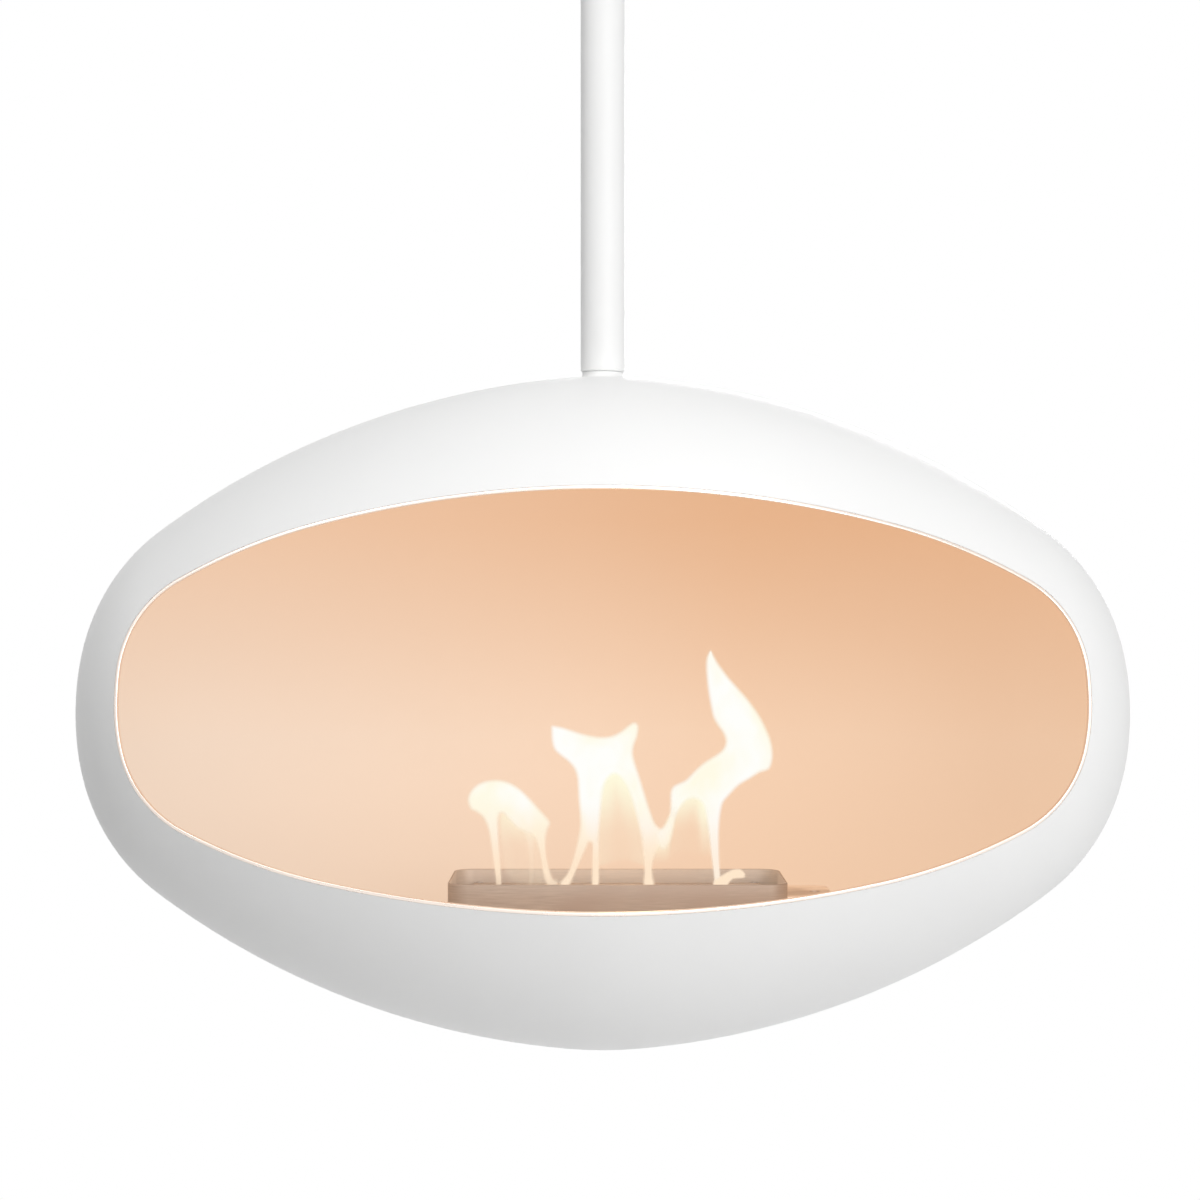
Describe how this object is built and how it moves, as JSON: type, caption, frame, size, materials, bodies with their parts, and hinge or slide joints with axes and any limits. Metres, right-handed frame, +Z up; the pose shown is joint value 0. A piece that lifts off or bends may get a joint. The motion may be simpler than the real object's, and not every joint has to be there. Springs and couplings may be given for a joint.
{
  "type": "hanging bioethanol fireplace",
  "caption": "Ceiling-hung bioethanol fireplace: a wide-mouthed steel pod on a pole with a swivel, a lift-out burner tray and a sliding damper.",
  "frame": {"origin": "centre of the ceiling plate's top face, on the ceiling", "axes": "+Z up along the pole, the pod's mouth faces -Y, +X to the viewer's right"},
  "size_m": [1, 0.5999, 1.542],
  "materials": {
    "white_coat": "satin powder coat",
    "rim_coat": "satin powder coat, polished edge",
    "lining_coat": "satin heat-resistant coat",
    "zinc_steel": "zinc plated",
    "bright_steel": "turned, bright",
    "bronze": "turned bronze",
    "slip_plastic": "smooth, waxy",
    "burner_steel": "brushed stainless, heat tinted",
    "damper_steel": "brushed stainless, lightly heat tinted",
    "fibre_wool": "matte ceramic wool",
    "mesh_steel": "woven stainless"
  },
  "bodies": {
    "suspension": {"ceiling_plate": "zinc_steel", "plate_socket": "zinc_steel", "pole_lock_screws": "bright_steel", "pole": "white_coat", "pole_end_plug": "bright_steel", "swivel_bush_upper": "bronze", "swivel_bush_lower": "bronze"},
    "cover": {"ceiling_cover": "white_coat", "cover_collar": "white_coat", "cover_screw": "bright_steel"},
    "pod": {"spindle": "bright_steel", "slip_washer": "slip_plastic", "spindle_washer": "bright_steel", "spindle_nut": "bright_steel", "lock_nut": "bright_steel", "neck_collar": "white_coat", "hanger_saddle": "lining_coat", "foot_bolts": "bright_steel", "shell_upper": "white_coat", "shell_lower": "white_coat", "mouth_rim": "rim_coat", "cradle_cheek_left": "lining_coat", "cradle_cheek_right": "lining_coat", "cradle_shelf": "lining_coat", "shelf_screws": "bright_steel"},
    "burner": {"burner_tray": "burner_steel", "fibre_block": "fibre_wool", "fibre_mesh": "mesh_steel", "plate_posts": "bright_steel", "slotted_plate": "burner_steel", "post_screws": "bright_steel", "damper_guides": "burner_steel"},
    "damper": {"damper_slide": "damper_steel", "damper_grip": "damper_steel"}
  },
  "joints": [
    {"name": "cover_slide", "type": "slide", "parent": "suspension", "child": "cover", "axis": [0, 0, -1], "range_m": [0, 0.12]},
    {"name": "pod_swivel", "type": "hinge", "parent": "suspension", "child": "pod", "pos_m": [0, 0, -0.86], "axis": [0, 0, 1], "continuous": true},
    {"name": "burner_lift", "type": "slide", "parent": "pod", "child": "burner", "axis": [0, 0, 1], "range_m": [0, 0.08]},
    {"name": "damper_slide", "type": "slide", "parent": "burner", "child": "damper", "axis": [1, 0, 0], "range_m": [-0.01475, 0]}
  ]
}
